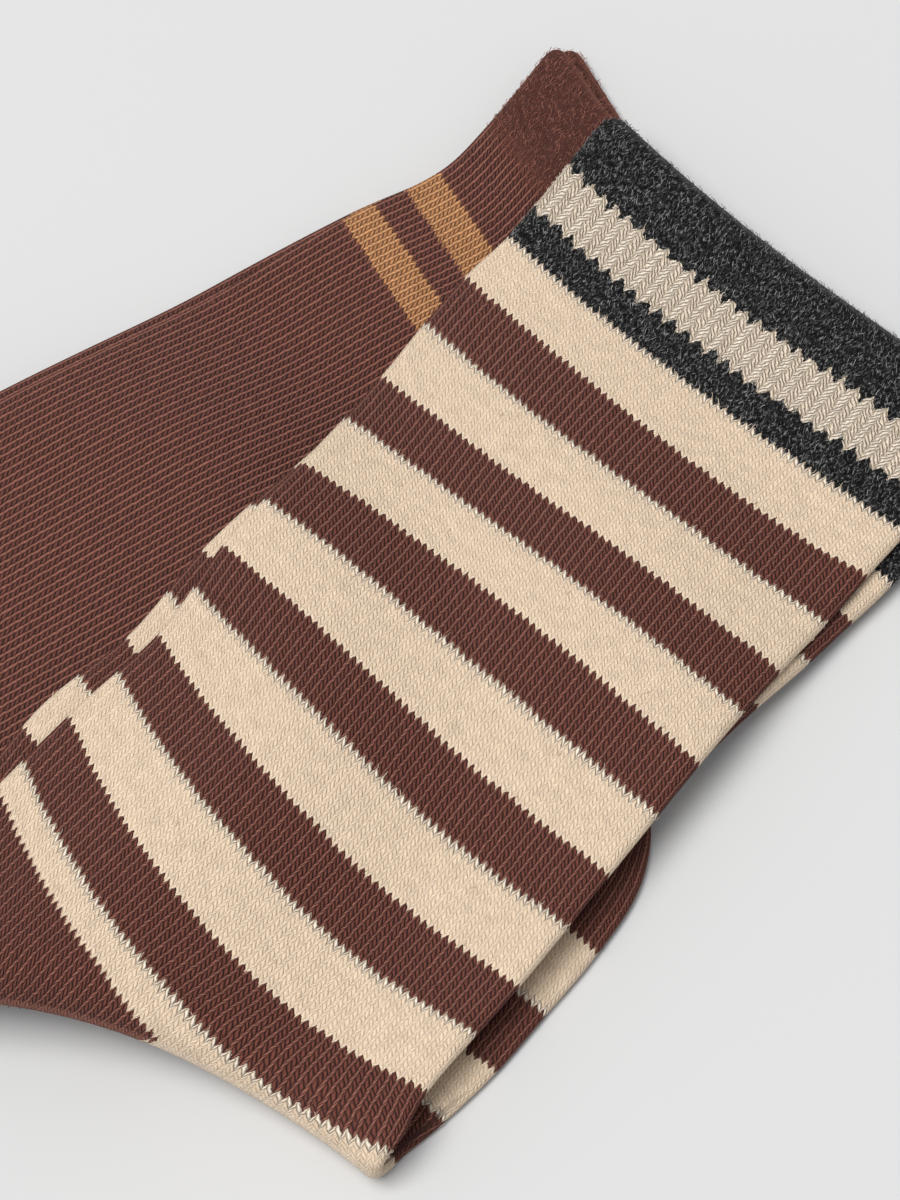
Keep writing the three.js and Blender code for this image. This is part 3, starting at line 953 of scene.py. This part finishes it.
def striped_course(m):
    """Sets the stitch, coarser in the cuff, and returns the course whose yarn shows."""
    in_cuff = m.do("LESS_THAN", m.course, STRIPES_FROM - 0.5)
    course = m.set_stitch(
        m.both(m.wale, m.blend(in_cuff, 1, 0.5)),
        slant=m.blend(in_cuff, 1, 1.8), lit_share=m.blend(in_cuff, 0.38, 0.5),
        lit_slant=m.blend(in_cuff, 1.3, 1.15), lit_gap=m.blend(in_cuff, 0.35, 0.1),
    )
    ragged = m.uneven(1, 3, lean=0.1, across=1.3, along=0.35)
    return m.do("ADD", course, m.both(ragged, m.blend(in_cuff, RAGGED_LEG, RAGGED_CUFF)))


def striped_material():
    m = Knit("striped knit")
    course = striped_course(m)
    past_edge = m.both(m.do("SUBTRACT", course, m.course), COURSE)
    in_heel = m.do("GREATER_THAN", m.do("ADD", m.attribute("heel"), past_edge), 0)
    below_cuff = m.do("GREATER_THAN", course, STRIPES_FROM)
    phase = m.do("MODULO", m.do("SUBTRACT", course, STRIPES_FROM), STRIPE_PERIOD)
    striped = m.both(m.both(m.do("LESS_THAN", course, TOE_FROM), m.opposite(in_heel)), below_cuff)
    cream = m.both(m.do("LESS_THAN", phase, CREAM_COURSES), striped)
    oatmeal = m.between(course, OATMEAL_FROM, OATMEAL_TO)
    shades = []
    for side in range(3):
        leg = m.mix(cream, YARN["brown"][side], YARN["cream"][side])
        cuff = m.mix(oatmeal, YARN["charcoal"][side], YARN["oatmeal"][side])
        shades.append(m.mix(below_cuff, cuff, leg))
    first_loops = m.both(cream, m.between(phase, 0, 1.1))
    # Painted highlight on the raised first loops, painted shade in their gaps.
    shades[0] = m.mix(m.both(first_loops, 0.55), shades[0], FIRST_LOOP_HIGHLIGHT)
    shades[1] = m.mix(m.both(first_loops, 0.15), shades[1], FIRST_LOOP_GAP_SHADE)
    fuzzy = m.both(m.opposite(below_cuff), m.opposite(oatmeal))
    soft_yarn = m.both(cream, m.opposite(first_loops))
    lit_share = m.blend(soft_yarn, m.blend(oatmeal, 0.8, 0.4), 0.45)
    return finish(m, shades, fuzzy, soft_yarn, lit_share, rim_share=0.2, fuzz_low=0.12, depth=0.4)


# %% [markdown]
# ## The brown knit
# One brown yarn with two tan bands near the cuff. Its ribs show as long fine lines, so the strand in the
# light is nearly straight, and the welt at the cuff is brushed until no stitch shows.

# %% Brown knit
TAN_UPPER = (35, 42.5)
TAN_LOWER = (49, 56)
BROWN_WELT = 22


def brown_material():
    m = Knit("brown knit")
    course = m.set_stitch(m.wale, slant=0.8, lit_share=0.42, lit_slant=0.4, lit_gap=0.75)
    band = m.do("ADD", m.between(course, *TAN_UPPER), m.between(course, *TAN_LOWER))
    shades = [m.mix(band, YARN["brown"][side], YARN["tan"][side]) for side in range(3)]
    fuzzy = m.opposite(m.ramp(m.course, BROWN_WELT - 5, BROWN_WELT + 3))
    return finish(m, shades, fuzzy, soft_yarn=0, lit_share=0.65, rim_share=0.5, fuzz_low=0.38, depth=0.45)


MATERIALS = {"striped_knit": striped_material(), "brown_knit": brown_material()}
print("materials:", [f"{slot}, {len(m.node_tree.nodes)} nodes" for slot, m in MATERIALS.items()])

# %% [markdown]
# ## Where the knit is brushed
# Fibres stand densely on the charcoal bands and the brown welt, less so on the oatmeal band and the first
# loops of each cream stripe, and only here and there on the rest. The course number gives that share.

# %% Brushed shares
STRAY = 0.012
OATMEAL_BRUSHED = 0.3
FIRST_LOOPS_BRUSHED = 0.24


def brushed_striped(course):
    charcoal = (course < OATMEAL_FROM) | ((course > OATMEAL_TO) & (course < STRIPES_FROM))
    phase = (course - STRIPES_FROM + 1) % STRIPE_PERIOD
    first_loops = (course > STRIPES_FROM - 1) & (phase < 2) & (course < TOE_FROM)
    oatmeal = (course >= OATMEAL_FROM) & (course <= OATMEAL_TO)
    stripes = np.where(first_loops, FIRST_LOOPS_BRUSHED, STRAY)
    return np.where(charcoal, 1, np.where(oatmeal, OATMEAL_BRUSHED, stripes))


def brushed_brown(course):
    return np.where(course < BROWN_WELT, 1, STRAY)


# %% [markdown]
# ## The four socks
# The mate lies inside the upper sock's fold, so the layers from the top are upper leg, under leg, under
# foot and upper foot, and the levels count them. Each sock takes the place of its plain solid, which is
# hidden.

# %% Make a pair
def pair(name, slot, leg, foot, under, spread, support, heel_from, brushed):
    leg, foot = as_array(leg), as_array(foot)
    shared = dict(spread=spread, support=support, heel_from=heel_from, brushed=brushed)
    under_leg = turned_under(leg, under)
    upper = dict(shared, leg=leg, foot=foot, leg_level=1, foot_level=0)
    lower = dict(shared, leg=under_leg, foot=under_foot(foot, under_leg[-1]), leg_level=0, foot_level=1)
    made = {}
    for which, sock in (("upper", upper), ("under", lower)):
        node = f"{name}_sock_{which}"
        piece = build_mesh(f"{name}_{which}", sock)
        piece.data.materials.append(MATERIALS[slot])
        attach(piece, "root")
        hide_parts(node)
        made[which] = piece
    return made


STRIPED_HEEL_FROM = 127

brown = pair(
    "brown", "brown_knit", BROWN_LEG, BROWN_FOOT, BROWN_UNDER,
    BROWN_FOOT_SPREAD, under_brown, None, brushed_brown,
)
striped = pair(
    "striped", "striped_knit", STRIPED_LEG, STRIPED_FOOT, STRIPED_UNDER,
    STRIPED_FOOT_SPREAD, under_striped, STRIPED_HEEL_FROM, brushed_striped,
)

# %% [markdown]
# ## Loose fibres
# Brushed cotton's short fibres soften its outline in a way that no bump can. A Geometry Nodes tree scatters
# them, since it places thousands from one rule. Each is a bent three-sided rod that keeps the stitch at
# its root, and so the colour of the yarn that it stands on.

# %% The shape of one fibre
START = (0, 0, -0.1)
HANDLE = (0.43, 0.03, 0.28)
END = (1, 0.2, 0.12)
FIBRE_STEPS = 2
FIBRE_SIDES = 3


def fibre_shape(g, given):
    """A bowed rod along x, rooted a little below the surface."""
    bow = {"Resolution": FIBRE_STEPS}
    for label, place in (("Start", START), ("Start Handle", HANDLE), ("End Handle", HANDLE), ("End", END)):
        bow[label] = g.vector(*(g.both(given["Length"], share) for share in place))
    curve = g.add("GeometryNodeCurvePrimitiveBezierSegment", bow)[0]
    circle = {"Resolution": FIBRE_SIDES, "Radius": given["Radius"]}
    section = g.add("GeometryNodeCurvePrimitiveCircle", circle)[0]
    rod = {"Curve": curve, "Profile Curve": section, "Fill Caps": True}
    return g.add("GeometryNodeCurveToMesh", rod)[0]


# %% Which way each fibre lies
ROLL = (-0.8, 0.8)
PITCH = (-0.35, 0.1)


def named(g, name, kind):
    return g.add("GeometryNodeInputNamedAttribute", {"Name": name}, data_type=kind)["Attribute"]


def random(g, given, low, high, draw):
    """A random value for each fibre; each draw has its own number."""
    seed = g.do("ADD", given["Seed"], draw)
    return g.add("FunctionNodeRandomValue", {2: low, 3: high, "Seed": seed})[1]


def fibre_rotation(g, given, upright):
    """Along the wales, then turned at random."""
    ways = {"Rotation": upright, "Vector": named(g, "wale_way", "FLOAT_VECTOR")}
    along = g.add("FunctionNodeAlignRotationToVector", ways, axis="X", pivot_axis="Z")[0]
    spin = g.both(random(g, given, -1, 1, 1), given["Spread"])
    angles = g.vector(random(g, given, *ROLL, 2), random(g, given, *PITCH, 3), spin)
    euler = g.add("FunctionNodeEulerToRotation", {0: angles})[0]
    turn = {"Rotation": along, "Rotate By": euler}
    return g.add("FunctionNodeRotateRotation", turn, rotation_space="LOCAL")[0]


# %% Scatter, colour and curl
SCALES = (0.5, 1.5)
PALEST = (0.15, 1)
CURLS_PER_METRE = 900


def scatter(g, given):
    """Fibres on points over the sock, as real geometry, each marked with how much painted highlight it
    takes.
    """
    density = g.both(given["Density"], named(g, "brushed", "FLOAT"))
    where = {"Mesh": given["Geometry"], "Density": density, "Seed": given["Seed"]}
    points = g.add("GeometryNodeDistributePointsOnFaces", where)
    size = random(g, given, *SCALES, 4)
    place = g.add("GeometryNodeInstanceOnPoints", {
        "Points": points["Points"], "Instance": fibre_shape(g, given),
        "Rotation": fibre_rotation(g, given, points["Rotation"]), "Scale": g.vector(size, size, size),
    })
    # How much painted highlight each fibre takes; a higher Rarity leaves fewer of them pale.
    pale = g.do("POWER", random(g, given, *PALEST, 5), given["Rarity"])
    mark = {"Geometry": place[0], "Name": "fibre", "Value": pale}
    marked = g.add("GeometryNodeStoreNamedAttribute", mark, data_type="FLOAT", domain="INSTANCE")[0]
    return g.add("GeometryNodeRealizeInstances", {0: marked})[0]


def curled(g, given, geometry):
    """Bends the fibres by a fine noise in space."""
    noise = g.add("ShaderNodeTexNoise", {"Scale": CURLS_PER_METRE})["Color"]
    away = g.add("ShaderNodeVectorMath", {0: noise, 1: (0.5, 0.5, 0.5)}, operation="SUBTRACT")[0]
    bend = {"Geometry": geometry, "Offset": g.scaled(away, given["Curl"])}
    return g.add("GeometryNodeSetPosition", bend)[0]


# %% The whole tree
FIBRE_INPUTS = ("Density", "Length", "Radius", "Spread", "Curl", "Rarity")


def fibre_tree():
    tree = bpy.data.node_groups.new("loose fibres", "GeometryNodeTree")
    sockets = [("Geometry", "Geometry"), *((label, "Float") for label in FIBRE_INPUTS)]
    for label, kind in (*sockets, ("Seed", "Int"), ("Material", "Material")):
        tree.interface.new_socket(label, in_out="INPUT", socket_type=f"NodeSocket{kind}")
    tree.interface.new_socket("Geometry", in_out="OUTPUT", socket_type="NodeSocketGeometry")
    g = Graph(tree)
    given = g.add("NodeGroupInput")
    coat = {"Geometry": curled(g, given, scatter(g, given)), "Material": given["Material"]}
    g.add("NodeGroupOutput", {0: g.add("GeometryNodeSetMaterial", coat)[0]})
    return tree


FIBRES = fibre_tree()
print("fibre tree has", len(FIBRES.nodes), "nodes")

# %% [markdown]
# ## Growing the fibres
# The tree's result is kept as a plain mesh, so no modifier is left on a piece. The upper socks get more
# fibres, because the mates hardly show. Many brown fibres take a strong painted highlight, and few of the
# striped sock's, as in the photo.

# %% Grow and keep
def grown_on(sock_object, values):
    """The fibres on a sock, as a plain mesh."""
    carrier = bpy.data.objects.new("carrier", sock_object.data)
    bpy.context.collection.objects.link(carrier)
    modifier = carrier.modifiers.new("fibres", "NODES")
    modifier.node_group = FIBRES
    for item in FIBRES.interface.items_tree:
        if item.in_out == "INPUT" and item.name in values:
            modifier[item.identifier] = values[item.name]
    bpy.context.view_layer.update()
    grown = carrier.evaluated_get(bpy.context.evaluated_depsgraph_get())
    mesh = bpy.data.meshes.new_from_object(grown)
    bpy.data.objects.remove(carrier)
    return mesh


def add_fibres(sock_object, slot, seed, **settings):
    mesh = grown_on(sock_object, dict(settings, Seed=seed, Material=MATERIALS[slot]))
    fibres = bpy.data.objects.new(f"{sock_object.name}_fibres", mesh)
    bpy.context.collection.objects.link(fibres)
    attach(fibres, "root")
    print(fibres.name, "triangles", sum(len(face.vertices) - 2 for face in mesh.polygons))


# %% Fibres for each sock
PER_SQUARE_MM = {"upper": 3.7, "under": 2.0}
BROWN_SHARE = 0.65

for seed, (which, density) in enumerate(PER_SQUARE_MM.items()):
    add_fibres(
        striped[which], "striped_knit", seed, Density=density / MM**2,
        Length=0.6 * MM, Radius=0.031 * MM, Spread=0.6, Curl=0.16 * MM, Rarity=5.5,
    )
    add_fibres(
        brown[which], "brown_knit", seed + 2, Density=BROWN_SHARE * density / MM**2,
        Length=0.7 * MM, Radius=0.036 * MM, Spread=0.7, Curl=0.2 * MM, Rarity=0.8,
    )

# %% [markdown]
# ## The surface and the light
# The socks lie on a plain pale surface. The photo's shadows are short and soft, so its light is a large
# one, high and a little to the left. A weak one in front and the room's fill, a little cool, keep the
# shadows from going black.

# %% Floor and world
FLOOR_GREY = (0.57, 0.57, 0.57, 1)
ROOM_COLOUR = (0.96, 0.98, 1, 1)
ROOM_STRENGTH = 0.42

bpy.ops.mesh.primitive_plane_add(size=3)
floor = bpy.context.object
floor.name = "floor"
paint = bpy.data.materials.new("pale surface")
paint.use_nodes = True
paint.node_tree.nodes["Principled BSDF"].inputs["Base Color"].default_value = FLOOR_GREY
paint.node_tree.nodes["Principled BSDF"].inputs["Roughness"].default_value = 0.95
floor.data.materials.append(paint)

world = bpy.data.worlds.new("room")
world.use_nodes = True
world.node_tree.nodes["Background"].inputs[0].default_value = ROOM_COLOUR
world.node_tree.nodes["Background"].inputs[1].default_value = ROOM_STRENGTH
bpy.context.scene.world = world
print("floor", round(floor.dimensions.x, 1), "m wide")

# %% Two area lights
LIGHT_COLOUR = (1, 0.995, 0.985)


def area_light(name, size, energy, offset):
    data = bpy.data.lights.new(name, "AREA")
    data.size, data.energy = size, energy
    data.color = LIGHT_COLOUR
    light = bpy.data.objects.new(name, data)
    bpy.context.collection.objects.link(light)
    light.location = aim + Vector(offset)
    light.rotation_euler = (aim - light.location).to_track_quat("-Z", "Y").to_euler()
    print(name, "light", round((light.location - aim).length, 1), "m away")


area_light("window", 1.4, 96, (-0.8, -0.3, 2.9))
area_light("front", 1.8, 2.5, (-0.9, -2.4, 1.5))
